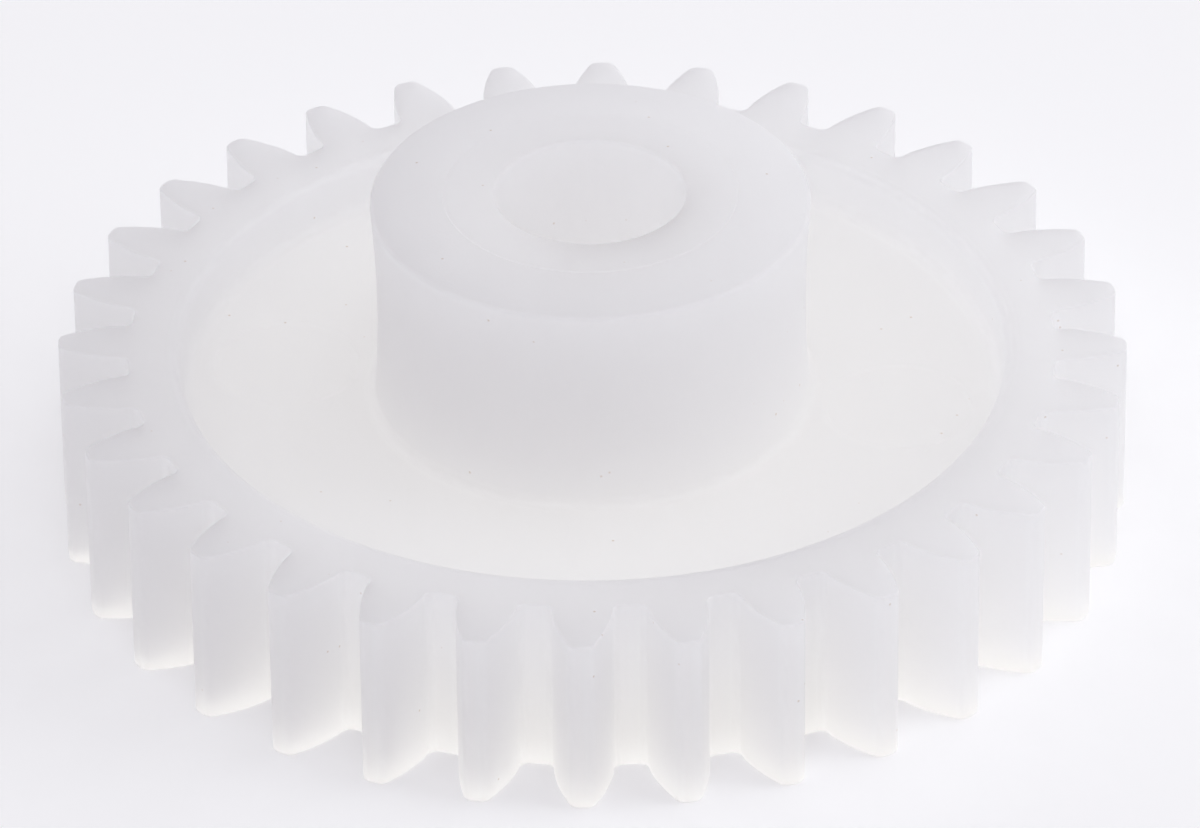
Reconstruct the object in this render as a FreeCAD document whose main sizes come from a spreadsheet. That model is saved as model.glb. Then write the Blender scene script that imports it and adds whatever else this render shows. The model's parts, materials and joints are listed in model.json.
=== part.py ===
"""Moulded spur gear with a raised hub, as one parametric FreeCAD document.

The gear is a single moulding. It is modelled whole, the way its mould forms it, and then divided
along cylinders round the bore axis into the regions that a gear has: hub, web, rim and teeth.
The regions meet face to face.

Millimetres. The bore axis is Z and the hub's raised end points to +Z. The origin is on the axis in
the plane of the underside, and the middle of a tooth lies on +X.
"""
import FreeCAD, Part
import math
import os

import Sketcher
from FreeCAD import Vector

# cell -> its number, and what it is
SIZES = {
    "module_size": (1.0, "tooth module: pitch diameter over tooth count"),
    "tooth_count": (32, "number of teeth"),
    "pressure_angle": (20, "degrees, at the pitch circle"),
    "addendum": (1.0, "tip circle above the pitch circle, in modules"),
    "dedendum": (1.25, "root circle below the pitch circle, in modules"),
    "tip_round": (0.33, "along both corners of a tooth's tip"),
    "backlash_allowance": (0.03, "each flank stands in by this, so that meshing teeth run free"),
    "face_width": (6.0, "length of the teeth along the axis"),
    "recess_depth": (1.6, "depth of the web below each face of the rim"),
    "rim_inner_radius": (13.16, "inside of the rim, at its faces"),
    "rim_draft": (0.15, "how far the rim's inner wall leans in, down to the web"),
    "rim_fillet": (0.4, "between the web and the rim"),
    "core_mark_radius": (13.6, "ring that the mould's core leaves on the rim's upper face"),
    "core_mark_step": (0.008, "the face stands lower by this inside that ring"),
    "rim_edge_round": (0.3, "on the rim's inner edges"),
    "edge_round": (0.1, "on the bore's edges and the hub's lower edge"),
    "hub_height": (11.7, "from the underside to the hub's flat end"),
    "hub_radius": (6.97, "hub side, where it meets the hub's end"),
    "hub_foot_radius": (6.93, "hub side, where it meets the web"),
    "hub_waist_sag": (0.15, "how far shrinkage draws in the middle of the hub's side"),
    "hub_fillet": (0.32, "between the hub and the web"),
    "hub_edge_round": (0.14, "round the hub's raised end"),
    "hub_end_fall": (0.25, "the hub's end slopes down by this to its edge"),
    "sleeve_mark_radius": (4.65, "ring that the ejector sleeve leaves on the hub's end"),
    "sleeve_mark_step": (0.02, "height of that ring's step"),
    "bore_radius": (3.0, "plain bore, right through"),
    "pin_mark_radius": (2.35, "round witness mark of an ejector pin on the web"),
    "pin_mark_centre": (9.86, "distance of the marks from the axis"),
    "pin_mark_angle": (-7, "degrees from +X to the first mark"),
    "pin_mark_count": (2, "number of marks, evenly spaced"),
    "pin_mark_depth": (0.03, "depth of the marks"),
}

# lengths worked out from the cells
PITCH_RADIUS = "(sizes.module_size * sizes.tooth_count / 2)"
TIP_RADIUS = f"({PITCH_RADIUS} + sizes.addendum * sizes.module_size)"
ROOT_RADIUS = f"({PITCH_RADIUS} - sizes.dedendum * sizes.module_size)"
BASE_RADIUS = f"({PITCH_RADIUS} * cos(sizes.pressure_angle * 1deg))"
ROOT_FILLET = f"(({BASE_RADIUS} ^ 2 - {ROOT_RADIUS} ^ 2) / (2 * {ROOT_RADIUS}))"
WEB_TOP = "(sizes.face_width - sizes.recess_depth)"
RECESS_FOOT_RADIUS = "(sizes.rim_inner_radius - sizes.rim_draft)"
CORE_MARK_HEIGHT = "(sizes.face_width - sizes.core_mark_step)"
SLEEVE_MARK_HEIGHT = "(sizes.hub_height - sizes.sleeve_mark_step)"
HUB_EDGE_HEIGHT = f"({SLEEVE_MARK_HEIGHT} - sizes.hub_end_fall)"
HUB_SIDE_RISE = f"({HUB_EDGE_HEIGHT} - {WEB_TOP})"
HUB_SIDE_LEAN = "(sizes.hub_radius - sizes.hub_foot_radius)"
HUB_SIDE_CHORD = f"sqrt({HUB_SIDE_RISE} ^ 2 + {HUB_SIDE_LEAN} ^ 2)"

# the recesses start inside the hub, which is raised after they are cut
RECESS_START_RADIUS = "((sizes.bore_radius + sizes.hub_foot_radius) / 2)"

# The regions divide half way round a fillet, where its surface stands at 45 degrees. The hub's
# widest ring has to stay inside its own division.
HALF_WAY = 1 - math.sqrt(0.5)
HUB_DIVISION = f"(sizes.hub_foot_radius + {HALF_WAY} * sizes.hub_fillet)"
WEB_DIVISION = f"({RECESS_FOOT_RADIUS} - {HALF_WAY} * sizes.rim_fillet)"
RIM_DIVISION = f"({ROOT_RADIUS} + {HALF_WAY} * {ROOT_FILLET})"

FLANK_POINTS = 9
OVERRUN = 1
CLOSE = 1e-4
START, END, CENTRE = 1, 2, 3
ORIGIN, ACROSS, ALONG = -1, -1, -2


# ---------------------------------------------------------------- the sheet
def make_sheet():
    """The driving dimensions, one named cell each."""
    cells = doc.addObject("Spreadsheet::Sheet", "sizes")
    for row, (name, (number, meaning)) in enumerate(SIZES.items(), start=1):
        cells.set(f"A{row}", meaning)
        cells.set(f"B{row}", str(number))
        cells.setAlias(f"B{row}", name)
    doc.recompute()
    return cells


def value(expression):
    """An expression in the sheet's cells, as a number."""
    return float(sheet.evalExpression(expression))


# ---------------------------------------------------------------- sketches
def new_sketch(name, plane_role):
    """An empty sketch on one of the body's own origin planes."""
    sketch = body.newObject("Sketcher::SketchObject", name)
    plane = next(item for item in body.Origin.OriginFeatures if item.Role == plane_role)
    sketch.AttachmentSupport = [(plane, "")]
    sketch.MapMode = "FlatFace"
    return sketch


def bind(sketch, expression, kind, *target):
    """Add a dimension to the sketch and tie it to an expression."""
    index = sketch.addConstraint(Sketcher.Constraint(kind, *target, value(expression)))
    sketch.setExpression(f"Constraints[{index}]", expression)


def hold(sketch, edge, end, place):
    """Fix a point by its two expressions; "0" keeps it on the sketch's own axis."""
    for expression, kind, axis in ((place[0], "DistanceX", ALONG), (place[1], "DistanceY", ACROSS)):
        if expression == "0":
            sketch.addConstraint(Sketcher.Constraint("PointOnObject", edge, end, axis))
        else:
            bind(sketch, expression, kind, edge, end)


def end_near(sketch, edge, place):
    """Which end of a sketch edge lies at a place."""
    return min((START, END), key=lambda end: sketch.getPoint(edge, end).distanceToPoint(place))


def section_sketch(name, corners, sagging=None):
    """A closed outline in the XZ plane, with each corner held by a pair of expressions.

    sagging gives the number of the one side that is an arc, its sag and its chord.
    """
    sketch = new_sketch(name, "XZ_Plane")
    places = [Vector(value(across), value(along), 0) for across, along in corners]
    ahead = places[1:] + places[:1]
    for index, (here, there) in enumerate(zip(places, ahead)):
        if sagging and index == sagging[0]:
            inward = Vector(0, 0, 1).cross(there - here).normalize()
            middle = (here + there) / 2 + inward * value(sagging[1])
            sketch.addGeometry(Part.Arc(here, middle, there))
        else:
            sketch.addGeometry(Part.LineSegment(here, there))
    for index, corner in enumerate(corners):
        after = (index + 1) % len(corners)
        first = end_near(sketch, index, ahead[index])
        second = end_near(sketch, after, ahead[index])
        sketch.addConstraint(Sketcher.Constraint("Coincident", index, first, after, second))
        hold(sketch, index, end_near(sketch, index, places[index]), corner)
    if sagging:
        index, sag, chord = sagging
        bind(sketch, f"({chord}) ^ 2 / (8 * {sag}) + {sag} / 2", "Radius", index)
    return sketch


def circle_sketch(name, radius, place=None, height=None):
    """A circle round the bore axis, or at a place given by two expressions."""
    sketch = new_sketch(name, "XY_Plane")
    centre = Vector(value(place[0]), value(place[1]), 0) if place else Vector(0, 0, 0)
    sketch.addGeometry(Part.Circle(centre, Vector(0, 0, 1), value(radius)))
    bind(sketch, radius, "Radius", 0)
    if place:
        hold(sketch, 0, CENTRE, place)
    else:
        sketch.addConstraint(Sketcher.Constraint("Coincident", 0, CENTRE, ORIGIN, START))
    if height:
        sketch.setExpression("AttachmentOffset.Base.z", height)
    return sketch


def tooth_space_sketch():
    """The gap between two teeth: two involute flanks, and fillets down to a root arc.

    Each fillet leaves the involute where it starts, on the base circle, and ends on the root circle.
    """
    base = value(BASE_RADIUS)
    root = value(ROOT_RADIUS)
    fillet = value(ROOT_FILLET)
    mouth = value(TIP_RADIUS) + OVERRUN
    angle = math.radians(value("sizes.pressure_angle"))
    half_space = math.pi / (2 * value("sizes.tooth_count")) - (math.tan(angle) - angle)
    half_space += value("sizes.backlash_allowance") / base
    half_root_arc = half_space - math.asin(fillet / (root + fillet))

    def polar(radius, turn):
        return Vector(radius * math.cos(turn), radius * math.sin(turn), 0)

    def flank_point(roll):
        return polar(base * math.sqrt(1 + roll ** 2), half_space + roll - math.atan(roll))

    def mirrored(point):
        return Vector(point.x, -point.y, 0)

    last_roll = math.sqrt((mouth / base) ** 2 - 1)
    flank = [flank_point(last_roll * step / (FLANK_POINTS - 1)) for step in range(FLANK_POINTS)]
    foot = polar(root, half_root_arc)
    centre = polar(root + fillet, half_root_arc)
    bend = centre + (foot + flank[0] - centre * 2).normalize() * fillet

    upper_flank = Part.BSplineCurve()
    upper_flank.interpolate(flank)
    lower_flank = Part.BSplineCurve()
    lower_flank.interpolate([mirrored(point) for point in flank])
    outline = [
        lower_flank,
        Part.Arc(mirrored(flank[0]), mirrored(bend), mirrored(foot)),
        Part.Arc(mirrored(foot), Vector(root, 0, 0), foot),
        Part.Arc(foot, bend, flank[0]),
        upper_flank,
        Part.LineSegment(flank[-1], mirrored(flank[-1])),
    ]
    sketch = new_sketch("tooth_space_outline", "XY_Plane")
    for index, curve in enumerate(outline):
        sketch.addGeometry(curve)
        sketch.addConstraint(Sketcher.Constraint("Block", index))
    sketch.setExpression("AttachmentOffset.Rotation.Angle", "180 / sizes.tooth_count")
    return sketch


# ---------------------------------------------------------------- features
def settle(feature):
    """Make the feature the body's tip, and check that it worked."""
    body.Tip = feature
    doc.recompute()
    if feature.Shape.isNull() or not feature.Shape.isValid():
        raise RuntimeError(f"{feature.Name} has no valid shape")
    return feature


def feature(kind, name, profile, adds, **settings):
    """A sketch-based feature, which has to add material or has to cut some away."""
    before = body.Shape.Volume if body.Tip else 0
    made = body.newObject(f"PartDesign::{kind}", name)
    made.Profile = profile
    for setting, content in settings.items():
        if setting == "Axis":
            made.ReferenceAxis = (profile, [content])
        elif setting == "Length":
            made.setExpression("Length", content)
        else:
            setattr(made, setting, content)
    settle(made)
    if (made.Shape.Volume > before) != adds:
        raise RuntimeError(f"{name} points the wrong way")
    return made


def repeat(name, made, count):
    """The feature repeated evenly round the bore axis."""
    pattern = body.newObject("PartDesign::PolarPattern", name)
    pattern.Originals = [made]
    pattern.Axis = (made.Profile[0], ["N_Axis"])
    pattern.Angle = 360
    pattern.setExpression("Occurrences", count)
    return settle(pattern)


def round_edges(name, radius, wanted):
    """A fillet along every edge of the moulding that the test picks."""
    base = body.Tip
    names = [f"Edge{i}" for i, edge in enumerate(base.Shape.Edges, start=1) if wanted(edge)]
    fillet = body.newObject("PartDesign::Fillet", name)
    fillet.Base = (base, names)
    fillet.setExpression("Radius", radius)
    return settle(fillet)


def rings(*places):
    """A test for circles round the bore axis, at pairs of a radius and a height."""
    numbers = [(value(radius), value(height)) for radius, height in places]

    def wanted(edge):
        curve = edge.Curve
        if not isinstance(curve, Part.Circle) or math.hypot(curve.Center.x, curve.Center.y) > CLOSE:
            return False
        return any(abs(curve.Radius - radius) < CLOSE and abs(curve.Center.z - height) < CLOSE
                   for radius, height in numbers)

    return wanted


def tip_corner(edge):
    """A test for the long edges where a flank meets the tip circle."""
    ends = [vertex.Point for vertex in edge.Vertexes]
    tip = value(TIP_RADIUS)
    return len(ends) == 2 and abs(ends[0].z - ends[1].z) > CLOSE and all(
        abs(math.hypot(point.x, point.y) - tip) < CLOSE for point in ends)


# ---------------------------------------------------------------- the moulding
def make_wheel():
    """The rim and the web, before the teeth are cut and the hub is raised."""
    blank = circle_sketch("blank_outline", TIP_RADIUS)
    feature("Pad", "blank", blank, True, Length="sizes.face_width")
    upper = section_sketch("upper_recess_section", [
        (RECESS_START_RADIUS, WEB_TOP),
        (RECESS_FOOT_RADIUS, WEB_TOP),
        ("sizes.rim_inner_radius", CORE_MARK_HEIGHT),
        ("sizes.core_mark_radius", CORE_MARK_HEIGHT),
        ("sizes.core_mark_radius", "sizes.face_width"),
        (RECESS_START_RADIUS, "sizes.face_width"),
    ])
    feature("Groove", "upper_recess", upper, False, Axis="V_Axis", Angle=360)
    lower = section_sketch("lower_recess_section", [
        (RECESS_START_RADIUS, "sizes.recess_depth"),
        (RECESS_FOOT_RADIUS, "sizes.recess_depth"),
        ("sizes.rim_inner_radius", "0"),
        (RECESS_START_RADIUS, "0"),
    ])
    feature("Groove", "lower_recess", lower, False, Axis="V_Axis", Angle=360)
    round_edges("rim_foot", "sizes.rim_fillet", rings(
        (RECESS_FOOT_RADIUS, WEB_TOP), (RECESS_FOOT_RADIUS, "sizes.recess_depth")))
    round_edges("rim_edges", "sizes.rim_edge_round", rings(
        ("sizes.rim_inner_radius", CORE_MARK_HEIGHT), ("sizes.rim_inner_radius", "0")))


def make_hub():
    """The hub, its sunk side, its sloped end and the bore."""
    section = section_sketch("hub_section", [
        ("0", "0"),
        ("sizes.hub_foot_radius", "0"),
        ("sizes.hub_foot_radius", WEB_TOP),
        ("sizes.hub_radius", HUB_EDGE_HEIGHT),
        ("sizes.sleeve_mark_radius", SLEEVE_MARK_HEIGHT),
        ("sizes.sleeve_mark_radius", "sizes.hub_height"),
        ("0", "sizes.hub_height"),
    ], sagging=(2, "sizes.hub_waist_sag", HUB_SIDE_CHORD))
    feature("Revolution", "hub_boss", section, True, Axis="V_Axis", Angle=360)
    round_edges("hub_foot", "sizes.hub_fillet", rings(
        ("sizes.hub_foot_radius", WEB_TOP), ("sizes.hub_foot_radius", "sizes.recess_depth")))
    round_edges("hub_edge", "sizes.hub_edge_round", rings(("sizes.hub_radius", HUB_EDGE_HEIGHT)))
    feature("Pocket", "bore", circle_sketch("bore_outline", "sizes.bore_radius"), False,
            Type="ThroughAll", Midplane=True)
    round_edges("small_edges", "sizes.edge_round", rings(
        ("sizes.bore_radius", "0"),
        ("sizes.bore_radius", "sizes.hub_height"),
        ("sizes.hub_foot_radius", "0")))


def make_pin_marks():
    """The shallow round marks that the ejector pins leave on the web."""
    place = ("sizes.pin_mark_centre * cos(sizes.pin_mark_angle * 1deg)",
             "sizes.pin_mark_centre * sin(sizes.pin_mark_angle * 1deg)")
    outline = circle_sketch("pin_mark_outline", "sizes.pin_mark_radius", place, WEB_TOP)
    mark = feature("Pocket", "pin_mark", outline, False, Length="sizes.pin_mark_depth")
    repeat("pin_marks", mark, "sizes.pin_mark_count")


def make_teeth():
    """The spaces between the teeth, and the round corners of the tips."""
    space = feature("Pocket", "tooth_space", tooth_space_sketch(), False,
                    Type="ThroughAll", Midplane=True)
    repeat("tooth_spaces", space, "sizes.tooth_count")
    round_edges("tip_corners", "sizes.tip_round", tip_corner)


# ---------------------------------------------------------------- the regions
def cylinder(name, radius):
    """A cylinder round the bore axis that stands out past both ends of the gear."""
    made = doc.addObject("Part::Cylinder", name)
    made.setExpression("Radius", radius)
    made.setExpression("Height", f"sizes.hub_height + 2 * {OVERRUN}")
    made.Placement.Base.z = -OVERRUN
    return made


def region(name, inner, outer):
    """The part of the moulding between two cylinders round the bore axis."""
    zone = body
    if outer:
        inside = doc.addObject("Part::Common", f"{name}_inside")
        inside.Base = zone
        inside.Tool = cylinder(f"{name}_outer_cylinder", outer)
        zone = inside
    if inner:
        outside = doc.addObject("Part::Cut", f"{name}_outside")
        outside.Base = zone
        outside.Tool = cylinder(f"{name}_inner_cylinder", inner)
        zone = outside
    zone.Label = name
    return zone


doc = FreeCAD.newDocument("spur_gear")
sheet = make_sheet()
body = doc.addObject("PartDesign::Body", "moulding")
make_wheel()
make_hub()
make_pin_marks()
make_teeth()

regions = [
    region("hub", None, HUB_DIVISION),
    region("web", HUB_DIVISION, WEB_DIVISION),
    region("rim", WEB_DIVISION, RIM_DIVISION),
    region("teeth", RIM_DIVISION, None),
]
doc.recompute()

for item in doc.Objects:
    if "Invalid" in item.State or "Error" in item.State:
        raise RuntimeError(f"{item.Name} failed: {item.State}")

os.makedirs("parts", exist_ok=True)
for node in regions:
    shape = node.Shape
    if shape.isNull() or not shape.isValid():
        raise RuntimeError(f"{node.Label} has no valid shape")
    wanted = value("sizes.tooth_count") if node.Label == "teeth" else 1
    if len(shape.Solids) != wanted:
        raise RuntimeError(f"{node.Label} has {len(shape.Solids)} solids, not {wanted:.0f}")
    shape.exportStep(f"parts/{node.Label}.step")
    print(node.Label, len(shape.Solids), "solids", round(shape.Volume, 2), "mm3")

divided = sum(node.Shape.Volume for node in regions)
print("whole", round(body.Shape.Volume, 2), "mm3, regions together", round(divided, 2), "mm3")
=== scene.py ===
"""Looks of the moulded spur gear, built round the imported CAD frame.

The gear is one moulding in milky acetal, so one closed, seamless mesh stands for all of its CAD
regions: light that enters at one place has to be able to leave at any other.
"""
import json
import math

import bpy
from mathutils import Matrix, Vector


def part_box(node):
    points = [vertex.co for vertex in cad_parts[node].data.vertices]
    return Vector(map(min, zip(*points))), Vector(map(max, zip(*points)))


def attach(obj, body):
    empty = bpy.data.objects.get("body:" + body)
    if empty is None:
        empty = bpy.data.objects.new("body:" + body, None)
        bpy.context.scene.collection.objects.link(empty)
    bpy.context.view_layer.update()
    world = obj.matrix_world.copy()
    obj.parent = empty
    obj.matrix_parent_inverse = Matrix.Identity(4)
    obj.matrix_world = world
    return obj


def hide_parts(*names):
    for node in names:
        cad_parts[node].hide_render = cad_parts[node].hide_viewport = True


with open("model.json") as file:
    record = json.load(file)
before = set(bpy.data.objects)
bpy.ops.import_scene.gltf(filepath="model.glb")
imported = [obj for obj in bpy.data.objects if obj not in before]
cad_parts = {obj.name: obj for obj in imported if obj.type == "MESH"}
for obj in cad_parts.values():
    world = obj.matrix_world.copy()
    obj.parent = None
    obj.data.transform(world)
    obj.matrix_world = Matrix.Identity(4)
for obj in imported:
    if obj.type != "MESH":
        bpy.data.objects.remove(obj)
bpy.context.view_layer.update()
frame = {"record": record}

MM = 0.001

# ---------------------------------------------------------------- sizes, in millimetres
# read from the frame
TIP_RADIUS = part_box("teeth")[1].x / MM
FACE_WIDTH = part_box("teeth")[1].z / MM
HUB_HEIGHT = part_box("hub")[1].z / MM
BORE_RADIUS = next(m for m in frame["record"]["mounts"] if m["name"] == "bore")["dims"]["r_mm"]

# teeth
TOOTH_COUNT = 32
PRESSURE_ANGLE = math.radians(20)
MODULE = 2 * TIP_RADIUS / (TOOTH_COUNT + 2)
PITCH_RADIUS = MODULE * TOOTH_COUNT / 2
ROOT_RADIUS = PITCH_RADIUS - 1.25 * MODULE
BASE_RADIUS = PITCH_RADIUS * math.cos(PRESSURE_ANGLE)
ROOT_FILLET = (BASE_RADIUS ** 2 - ROOT_RADIUS ** 2) / (2 * ROOT_RADIUS)
TIP_ROUND = 0.33
BACKLASH_ALLOWANCE = 0.03
FACE_ROUND = 0.05

# rim, web and hub
RIM_MIDDLE_RADIUS = 14.2
RIM_INNER_RADIUS = 13.16
RIM_DRAFT = 0.15
RIM_FILLET = 0.4
RIM_EDGE_ROUND = 0.3
CORE_MARK_RADIUS = 13.6
CORE_MARK_STEP = 0.008
CORE_MARK_SLOPE = 0.08
CORE_MARK_ROUND = 0.1
EDGE_ROUND = 0.1
RECESS_DEPTH = 1.6
WEB_TOP = FACE_WIDTH - RECESS_DEPTH
HUB_RADIUS = 6.97
HUB_FOOT_RADIUS = 6.93
HUB_WAIST_SAG = 0.15
HUB_FILLET = 0.32
HUB_EDGE_ROUND = 0.14
HUB_END_FALL = 0.25
SLEEVE_MARK_RADIUS = 4.65
SLEEVE_MARK_STEP = 0.02
SLEEVE_MARK_SLOPE = 0.03
SLEEVE_MARK_ROUND = 0.01
HUB_EDGE_HEIGHT = HUB_HEIGHT - SLEEVE_MARK_STEP - HUB_END_FALL

# ejector-pin marks
PIN_MARK_RADIUS = 2.35
PIN_MARK_CENTRE = 9.86
PIN_MARK_ANGLES = (math.radians(-7), math.radians(173))
PIN_MARK_DEPTH = 0.03
PIN_MARK_SLOPE = 0.13
PIN_MARK_ROUND = 0.25

# how near two places or directions are when they count as one
CLOSE = 1e-6

# mesh density
COLUMNS_PER_TOOTH = 10
COLUMNS = COLUMNS_PER_TOOTH * TOOTH_COUNT
OUTLINE_STEPS = {"land": 2, "corner": 5, "flank": 6, "fillet": 5, "root": 2}
ROUND_STEPS = 5
WEB_RINGS = 24
FLANK_LEVELS = 8
MARK_HALF_COLUMNS = 15
MARK_MIDDLE_SHARE = 8

# camera: angles in radians, lengths in millimetres
CAMERA_ELEVATION = 0.586
CAMERA_TURN = math.radians(1.471)
CAMERA_ROLL = -0.0113
CAMERA_LENS = 321.6
CAMERA_DISTANCE = 343.05
CAMERA_TARGET = (0.229, 0.432, 3.0)

# material: lengths in millimetres
MILKY = (0.992, 0.988, 0.984, 1)
CLOUD = (0.987, 0.981, 0.975, 1)
CLEAN = (1, 1, 1, 1)
CLOUD_SIZE = 5.0
SPECK = (0.70, 0.60, 0.50, 1)
SPECK_SPACING = 1.1
SPECK_RADIUS = 0.06
GLOSS_PATCH_SIZE = 1.2
ROUGHNESS = (0.36, 0.50)
SATIN_SIZE = 0.09
SATIN_DEPTH = 0.004
RIPPLE_SIZE = 3.0
RIPPLE_DEPTH = 0.012
REFRACTION = 1.48
FREE_PATH = 20.0
FORWARD_SCATTER = 0.7

# stage: lengths in millimetres, for the lamps in metres; angles in degrees, where 0 is +X and 90
# is +Y, behind the gear
FLOOR_GAP = 0.03
FLOOR_HALF = 40 * TIP_RADIUS
FLOOR_COLOR = (0.95, 0.95, 0.95, 1)
FLOOR_GLOW = 0.12
WORLD_COLOR = (1.0, 0.9, 1.0)
WORLD_STRENGTH = 0.26
LAMP_DISTANCE = 0.5
LAMP_SIZE = 0.35
LAMP_COLOR = (0.95, 0.98, 1.0)
LAMPS = (
    # name, azimuth, elevation, watts
    ("right", 0, 30, 0.5),
    ("right_high", 0, 60, 0.25),
    ("overhead", 0, 85, 0.3),
    ("right_back", 45, 30, 0.25),
    ("back", 90, 10, 0.2),
    ("left_back", 135, 30, 0.2),
    ("left_high", 180, 60, 0.3),
    ("front_high", 270, 60, 0.4),
)
LIGHT_BOUNCES = 32
DIFFUSE_BOUNCES = 24


# ---------------------------------------------------------------- outline of the teeth
def turned(angle):
    """Unit vector at an angle in the XY plane."""
    return Vector((math.cos(angle), math.sin(angle)))


def bisect(function, low, high):
    """Where an increasing function crosses zero."""
    for _ in range(60):
        middle = (low + high) / 2
        if function(middle) < 0:
            low = middle
        else:
            high = middle
    return (low + high) / 2


def half_tooth():
    """Points with normals from the middle of a tooth's tip to the middle of the space beside it."""
    inv = math.tan(PRESSURE_ANGLE) - PRESSURE_ANGLE
    half_base = math.pi / (2 * TOOTH_COUNT) + inv - BACKLASH_ALLOWANCE / BASE_RADIUS

    def flank(roll):
        place = turned(half_base - roll + math.atan(roll)) * BASE_RADIUS * math.sqrt(1 + roll ** 2)
        return place, Vector((-math.sin(half_base - roll), math.cos(half_base - roll)))

    def corner_gap(roll):
        place, normal = flank(roll)
        return (place - normal * TIP_ROUND).length - (TIP_RADIUS - TIP_ROUND)

    last_roll = bisect(corner_gap, 0, math.sqrt((TIP_RADIUS / BASE_RADIUS) ** 2 - 1))
    place, normal = flank(last_roll)
    corner = place - normal * TIP_ROUND
    corner_angle = math.atan2(corner.y, corner.x)
    corner_sweep = math.atan2(normal.y, normal.x) - corner_angle
    fillet_angle = half_base + math.asin(ROOT_FILLET / (ROOT_RADIUS + ROOT_FILLET))
    fillet = turned(fillet_angle) * (ROOT_RADIUS + ROOT_FILLET)
    space_angle = math.pi / TOOTH_COUNT

    points = []
    steps = OUTLINE_STEPS["land"]
    for i in range(steps):
        normal = turned(corner_angle * i / steps)
        points.append((normal * TIP_RADIUS, normal))
    steps = OUTLINE_STEPS["corner"]
    for i in range(steps):
        normal = turned(corner_angle + corner_sweep * i / steps)
        points.append((corner + normal * TIP_ROUND, normal))
    steps = OUTLINE_STEPS["flank"]
    for i in range(steps):
        points.append(flank(last_roll * (1 - i / steps)))
    steps = OUTLINE_STEPS["fillet"]
    first = half_base + math.pi / 2
    for i in range(steps):
        normal = turned(first + (fillet_angle - first) * i / steps)
        points.append((fillet - normal * ROOT_FILLET, normal))
    steps = OUTLINE_STEPS["root"]
    for i in range(steps + 1):
        normal = turned(fillet_angle + (space_angle - fillet_angle) * i / steps)
        points.append((normal * ROOT_RADIUS, normal))
    return points


def gear_outline():
    """The whole outline, anticlockwise from the middle of the tooth on +X."""
    half = half_tooth()
    mirrored = [(Vector((p.x, -p.y)), Vector((n.x, -n.y))) for p, n in reversed(half[1:])]
    tooth = half[:-1] + [
        (Matrix.Rotation(2 * math.pi / TOOTH_COUNT, 2) @ p,
         Matrix.Rotation(2 * math.pi / TOOTH_COUNT, 2) @ n) for p, n in mirrored]
    outline = []
    for index in range(TOOTH_COUNT):
        turn = Matrix.Rotation(2 * math.pi * index / TOOTH_COUNT, 2)
        outline += [(turn @ p, turn @ n) for p, n in tooth]
    return outline


# ---------------------------------------------------------------- section through the axis
def hub_waist(height):
    """How far the hub's side stands in at a height, and the slope of that."""
    middle = (WEB_TOP + HUB_EDGE_HEIGHT) / 2
    half = (HUB_EDGE_HEIGHT - WEB_TOP) / 2
    share = max(-1.0, min(1.0, (height - middle) / half))
    return HUB_WAIST_SAG * (1 - share ** 2), -2 * HUB_WAIST_SAG * share / half


def rounded_section(corners):
    """Points (radius, height) and outward normals along straight runs joined by fillets.

    A corner is (radius, height, fillet, steps of the run after it). The material lies to the left
    of the way that the corners go.
    """
    places = [Vector(corner[:2]) for corner in corners]
    points = []
    run_start = places[0]
    for index in range(1, len(corners)):
        ahead = (places[index] - places[index - 1]).normalized()
        normal = Vector((ahead.y, -ahead.x))
        last = index + 1 == len(corners)
        fillet = corners[index][2]
        turn = 0.0
        if not last:
            after = (places[index + 1] - places[index]).normalized()
            turn = math.atan2(ahead.cross(after), ahead.dot(after))
        run_stop = places[index] - ahead * fillet * math.tan(abs(turn) / 2)
        steps = corners[index - 1][3]
        for step in range(0 if index == 1 else 1, steps):
            points.append((run_start.lerp(run_stop, step / steps), normal))
        if last:
            points.append((run_stop, normal))
            break
        side = 1 if turn > 0 else -1
        centre = run_stop - normal * fillet * side
        for step in range(ROUND_STEPS + 1):
            way = Matrix.Rotation(turn * step / ROUND_STEPS, 2) @ normal
            points.append((centre + way * fillet * side, way))
        run_start = points[-1][0]
    return points


def sunk(points):
    """The section with the hub's side drawn in at its waist."""
    moved = []
    for place, normal in points:
        if HUB_FOOT_RADIUS - HUB_EDGE_ROUND - CLOSE < place.x < HUB_FOOT_RADIUS + 2 * HUB_FILLET \
                and WEB_TOP < place.y < HUB_EDGE_HEIGHT + HUB_END_FALL:
            sag, slope = hub_waist(place.y)
            along = Vector((-normal.y, normal.x))
            along.x -= slope * along.y
            normal = Vector((along.y, -along.x)).normalized()
            place = Vector((place.x - sag, place.y))
        moved.append((place, normal))
    return moved


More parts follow.
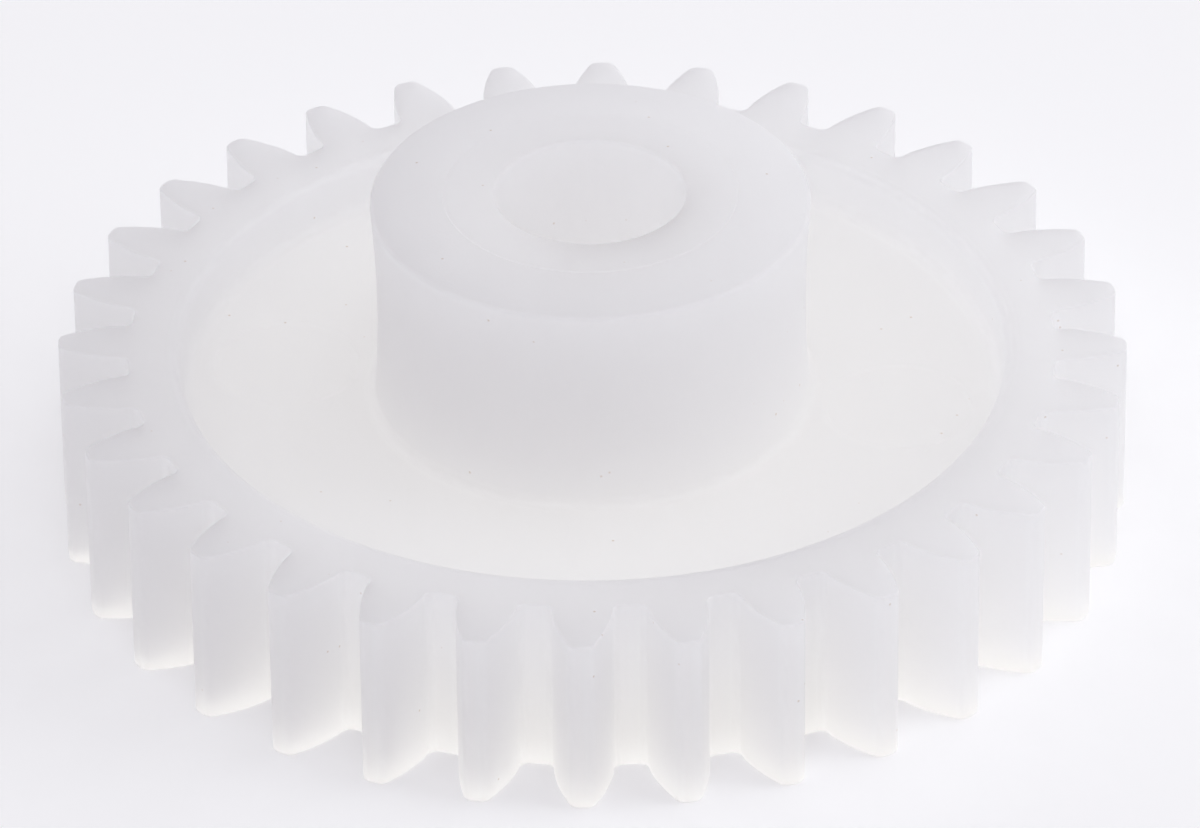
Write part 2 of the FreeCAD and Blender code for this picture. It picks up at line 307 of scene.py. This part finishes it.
def gear_section():
    """From the middle of the rim's upper face, inwards over the hub and back below."""
    foot = RIM_INNER_RADIUS - RIM_DRAFT
    core_height = FACE_WIDTH - CORE_MARK_STEP
    sleeve_height = HUB_HEIGHT - SLEEVE_MARK_STEP
    return sunk(rounded_section([
        (RIM_MIDDLE_RADIUS, FACE_WIDTH, 0, 2),
        (CORE_MARK_RADIUS, FACE_WIDTH, CORE_MARK_ROUND, 1),
        (CORE_MARK_RADIUS - CORE_MARK_SLOPE, core_height, CORE_MARK_ROUND, 2),
        (RIM_INNER_RADIUS, core_height, RIM_EDGE_ROUND, 6),
        (foot, WEB_TOP, RIM_FILLET, WEB_RINGS),
        (HUB_FOOT_RADIUS, WEB_TOP, HUB_FILLET, 28),
        (HUB_RADIUS, HUB_EDGE_HEIGHT, HUB_EDGE_ROUND, 8),
        (SLEEVE_MARK_RADIUS + SLEEVE_MARK_SLOPE, sleeve_height, SLEEVE_MARK_ROUND, 1),
        (SLEEVE_MARK_RADIUS, HUB_HEIGHT, SLEEVE_MARK_ROUND, 6),
        (BORE_RADIUS, HUB_HEIGHT, EDGE_ROUND, 24),
        (BORE_RADIUS, 0, EDGE_ROUND, 10),
        (HUB_FOOT_RADIUS, 0, EDGE_ROUND, 4),
        (HUB_FOOT_RADIUS, RECESS_DEPTH, HUB_FILLET, 12),
        (foot, RECESS_DEPTH, RIM_FILLET, 4),
        (RIM_INNER_RADIUS, 0, RIM_EDGE_ROUND, 3),
        (RIM_MIDDLE_RADIUS, 0, 0, 0),
    ]))


# ---------------------------------------------------------------- the mesh
class Skin:
    """Vertices, normals and faces of one closed surface, grown loop by loop."""

    def __init__(self):
        self.places = []
        self.normals = []
        self.faces = []

    def loop(self, points):
        """Add (place, normal) pairs and return their numbers."""
        first = len(self.places)
        for place, normal in points:
            self.places.append(Vector(place))
            self.normals.append(Vector(normal))
        return list(range(first, len(self.places)))

    def bridge(self, before, after, skipped=()):
        """Quads between two loops of one length."""
        count = len(before)
        for i in range(count):
            if i not in skipped:
                j = (i + 1) % count
                self.faces.append((before[i], before[j], after[j], after[i]))

    def gather(self, fine, coarse, fine_first):
        """Triangles between a loop and one with a whole fraction of its vertices."""
        ratio = len(fine) // len(coarse)
        half = ratio // 2
        for j, centre in enumerate(coarse):
            beside = coarse[(j + 1) % len(coarse)]
            turn = fine[(ratio * j + half) % len(fine)]
            fan = [fine[(ratio * j + k) % len(fine)] for k in range(-half, half + 1)]
            for low, high in zip(fan, fan[1:]):
                self.faces.append((low, high, centre) if fine_first else (centre, high, low))
            self.faces.append((turn, beside, centre) if fine_first else (centre, beside, turn))

    def ring(self, place, normal):
        """A loop round the bore axis through one point of the section."""
        turns = [turned(2 * math.pi * column / COLUMNS) for column in range(COLUMNS)]
        return self.loop(((t.x * place.x, t.y * place.x, place.y),
                          (t.x * normal.x, t.y * normal.x, normal.y)) for t in turns)

    def outline_loop(self, outline, inset, height, tilt):
        """The teeth's outline, set in and with its normals tilted up, at a height."""
        flat, up = math.cos(tilt), math.sin(tilt)
        return self.loop(((p.x - n.x * inset, p.y - n.y * inset, height),
                          (n.x * flat, n.y * flat, up)) for p, n in outline)

    def pin_mark(self, rings, first_column, angle):
        """Fill a gap in the web's rings with a round, shallow step."""
        columns = [(first_column + k) % COLUMNS for k in range(2 * MARK_HALF_COLUMNS + 1)]
        edge = [rings[0][c] for c in columns]
        edge += [ring[columns[-1]] for ring in rings[1:-1]]
        edge += [rings[-1][c] for c in reversed(columns)]
        edge += [ring[columns[0]] for ring in reversed(rings[1:-1])]
        centre = turned(angle) * PIN_MARK_CENTRE
        ways = [(self.places[v].xy - centre).normalized() for v in edge]
        floor = WEB_TOP - PIN_MARK_DEPTH
        section = rounded_section([
            (PIN_MARK_RADIUS + PIN_MARK_SLOPE, WEB_TOP, 0, 1),
            (PIN_MARK_RADIUS + PIN_MARK_SLOPE / 2, WEB_TOP, PIN_MARK_ROUND, 1),
            (PIN_MARK_RADIUS - PIN_MARK_SLOPE / 2, floor, PIN_MARK_ROUND, 8),
            (PIN_MARK_RADIUS / MARK_MIDDLE_SHARE, floor, 0, 0),
        ])
        before = edge
        for place, normal in section:
            after = self.loop(((*(centre + way * place.x), place.y),
                               (way.x * normal.x, way.y * normal.x, normal.y)) for way in ways)
            self.bridge(before, after)
            before = after
        middle = self.loop([((*centre, floor), (0, 0, 1))])[0]
        for i, low in enumerate(before):
            self.faces.append((low, before[(i + 1) % len(before)], middle))


def gear_skin():
    """The whole surface: flanks, upper face, recess, hub, bore and underside."""
    skin = Skin()
    outline = gear_outline()
    quarter = math.pi / 2
    levels = []
    for step in range(ROUND_STEPS + 1):
        tilt = quarter * (step / ROUND_STEPS - 1)
        levels.append((FACE_ROUND * (1 - math.cos(tilt)), FACE_ROUND * (1 + math.sin(tilt)), tilt))
    upper = [(inset, FACE_WIDTH - height, -tilt) for inset, height, tilt in reversed(levels)]
    low, high = levels[-1][1], upper[0][1]
    middle = [(0.0, low + (high - low) * k / FLANK_LEVELS, 0.0) for k in range(1, FLANK_LEVELS)]
    loops = [skin.outline_loop(outline, *level) for level in levels + middle + upper]
    for before, after in zip(loops, loops[1:]):
        skin.bridge(before, after)

    section = gear_section()
    rings = [skin.ring(*point) for point in section]
    skin.gather(loops[-1], rings[0], fine_first=True)
    skin.gather(loops[0], rings[-1], fine_first=False)

    web = [k for k, (place, normal) in enumerate(section)
           if abs(place.y - WEB_TOP) < CLOSE and normal.y > 1 - CLOSE]
    reach = PIN_MARK_RADIUS + PIN_MARK_SLOPE + CLOSE
    start = max(k for k in web if section[k][0].x > PIN_MARK_CENTRE + reach)
    stop = min(k for k in web if section[k][0].x < PIN_MARK_CENTRE - reach)
    skipped = set()
    for angle in PIN_MARK_ANGLES:
        first = round(angle * COLUMNS / (2 * math.pi)) - MARK_HALF_COLUMNS
        skin.pin_mark(rings[start:stop + 1], first, angle)
        skipped |= {(first + k) % COLUMNS for k in range(2 * MARK_HALF_COLUMNS)}
    for k, (before, after) in enumerate(zip(rings, rings[1:])):
        skin.bridge(before, after, skipped if start <= k < stop else ())
    return skin


def make_gear(material):
    """The moulding as one piece that stands for every region of the frame."""
    skin = gear_skin()
    mesh = bpy.data.meshes.new("gear_moulding")
    mesh.from_pydata([place * MM for place in skin.places], [], skin.faces)
    mesh.shade_smooth()
    mesh.normals_split_custom_set_from_vertices([n.normalized() for n in skin.normals])
    mesh.materials.append(material)
    gear = bpy.data.objects.new("gear_moulding", mesh)
    bpy.context.scene.collection.objects.link(gear)
    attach(gear, "root")
    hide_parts("hub", "web", "rim", "teeth")
    return gear


# ---------------------------------------------------------------- material
def noise(tree, place, size, detail):
    """Soft noise with features of a size in millimetres."""
    node = tree.nodes.new("ShaderNodeTexNoise")
    node.inputs["Scale"].default_value = 1 / (size * MM)
    node.inputs["Detail"].default_value = detail
    tree.links.new(place, node.inputs["Vector"])
    return node.outputs["Fac"]


def ramp(tree, factor, low, high):
    """Blend between two (position, colour) stops."""
    node = tree.nodes.new("ShaderNodeValToRGB")
    for element, (position, color) in zip(node.color_ramp.elements, (low, high)):
        element.position = position
        element.color = color
    tree.links.new(factor, node.inputs["Fac"])
    return node.outputs["Color"]


def bump(tree, height, depth, normal=None):
    """Relief of a depth in millimetres, over other relief if there is any."""
    node = tree.nodes.new("ShaderNodeBump")
    node.inputs["Distance"].default_value = depth * MM
    tree.links.new(height, node.inputs["Height"])
    if normal:
        tree.links.new(normal, node.inputs["Normal"])
    return node.outputs["Normal"]


def acetal_material():
    """Natural acetal: milky and satin, with faint clouds, sparse burnt specks and uneven gloss."""
    material = bpy.data.materials.new("natural_acetal")
    material.use_nodes = True
    tree = material.node_tree
    shader = tree.nodes["Principled BSDF"]
    place = tree.nodes.new("ShaderNodeTexCoord").outputs["Object"]

    clouds = ramp(tree, noise(tree, place, CLOUD_SIZE, 3), (0.35, MILKY), (0.70, CLOUD))
    cells = tree.nodes.new("ShaderNodeTexVoronoi")
    cells.inputs["Scale"].default_value = 1 / (SPECK_SPACING * MM)
    tree.links.new(place, cells.inputs["Vector"])
    reach = SPECK_RADIUS / SPECK_SPACING
    specks = ramp(tree, cells.outputs["Distance"], (0, SPECK), (reach, CLEAN))
    color = tree.nodes.new("ShaderNodeVectorMath")
    color.operation = "MULTIPLY"
    tree.links.new(clouds, color.inputs[0])
    tree.links.new(specks, color.inputs[1])
    tree.links.new(color.outputs["Vector"], shader.inputs["Base Color"])

    gloss = tree.nodes.new("ShaderNodeMapRange")
    gloss.inputs["From Min"].default_value = 0.3
    gloss.inputs["From Max"].default_value = 0.7
    gloss.inputs["To Min"].default_value = ROUGHNESS[0]
    gloss.inputs["To Max"].default_value = ROUGHNESS[1]
    tree.links.new(noise(tree, place, GLOSS_PATCH_SIZE, 4), gloss.inputs["Value"])
    tree.links.new(gloss.outputs["Result"], shader.inputs["Roughness"])

    ripple = bump(tree, noise(tree, place, RIPPLE_SIZE, 1), RIPPLE_DEPTH)
    satin = bump(tree, noise(tree, place, SATIN_SIZE, 2), SATIN_DEPTH, ripple)
    tree.links.new(satin, shader.inputs["Normal"])

    shader.inputs["IOR"].default_value = REFRACTION
    shader.inputs["Subsurface Weight"].default_value = 1.0
    shader.inputs["Subsurface Radius"].default_value = (1.0, 1.0, 1.0)
    shader.inputs["Subsurface Scale"].default_value = FREE_PATH * MM
    shader.inputs["Subsurface Anisotropy"].default_value = FORWARD_SCATTER
    return material


# ---------------------------------------------------------------- stage, light and camera
def floor_material():
    """Matte white that glows a little, which lightens the gear's shadow and its underside."""
    material = bpy.data.materials.new("white_floor")
    material.use_nodes = True
    shader = material.node_tree.nodes["Principled BSDF"]
    shader.inputs["Base Color"].default_value = FLOOR_COLOR
    shader.inputs["Roughness"].default_value = 0.9
    shader.inputs["Specular IOR Level"].default_value = 0.0
    shader.inputs["Emission Color"].default_value = (1, 1, 1, 1)
    shader.inputs["Emission Strength"].default_value = FLOOR_GLOW
    return material


def make_floor():
    """A wide sheet just under the gear, so that its light reaches the underside."""
    mesh = bpy.data.meshes.new("floor")
    half = FLOOR_HALF * MM
    low = -FLOOR_GAP * MM
    mesh.from_pydata([(-half, -half, low), (half, -half, low), (half, half, low), (-half, half, low)],
                     [], [(0, 1, 2, 3)])
    mesh.materials.append(floor_material())
    floor = bpy.data.objects.new("floor", mesh)
    bpy.context.scene.collection.objects.link(floor)


def area_light(name, azimuth, elevation, watts):
    """A round soft light that looks at the gear from a direction."""
    light = bpy.data.lights.new(name, "AREA")
    light.shape = "DISK"
    light.size = LAMP_SIZE
    light.energy = watts
    light.color = LAMP_COLOR
    lamp = bpy.data.objects.new(name, light)
    a, e = math.radians(azimuth), math.radians(elevation)
    way = Vector((math.cos(a) * math.cos(e), math.sin(a) * math.cos(e), math.sin(e)))
    lamp.location = Vector((0, 0, FACE_WIDTH * MM)) + way * LAMP_DISTANCE
    lamp.rotation_euler = way.to_track_quat("Z", "Y").to_euler()
    bpy.context.scene.collection.objects.link(lamp)


def make_light():
    """A pale room with soft lamps. Milky plastic passes light on many times before it is dark."""
    world = bpy.data.worlds.new("studio")
    world.use_nodes = True
    background = world.node_tree.nodes["Background"]
    background.inputs["Color"].default_value = (*WORLD_COLOR, 1)
    background.inputs["Strength"].default_value = WORLD_STRENGTH
    bpy.context.scene.world = world
    for lamp in LAMPS:
        area_light(*lamp)
    cycles = bpy.context.scene.cycles
    cycles.max_bounces = LIGHT_BOUNCES
    cycles.diffuse_bounces = DIFFUSE_BOUNCES


def make_camera():
    """A long lens, from above the front of the gear, turned a little from the tooth on -Y."""
    turn = Matrix.Rotation(CAMERA_TURN, 3, "Z")
    right = turn @ Vector((1, 0, 0))
    back = turn @ Vector((0, -math.cos(CAMERA_ELEVATION), math.sin(CAMERA_ELEVATION)))
    up = back.cross(right)
    lean = Matrix.Rotation(CAMERA_ROLL, 3, back)
    right, up = lean @ right, lean @ up
    camera = bpy.data.cameras.new("camera")
    camera.lens = CAMERA_LENS
    camera.sensor_width = 36
    camera.clip_start = 0.01
    camera.clip_end = 10
    holder = bpy.data.objects.new("camera", camera)
    place = turn @ Vector(CAMERA_TARGET) * MM + back * CAMERA_DISTANCE * MM
    axes = Matrix((right, up, back)).transposed().to_4x4()
    holder.matrix_world = Matrix.Translation(place) @ axes
    bpy.context.scene.collection.objects.link(holder)
    bpy.context.scene.camera = holder


make_gear(acetal_material())
make_floor()
make_light()
make_camera()
bpy.context.scene.view_settings.view_transform = "Standard"
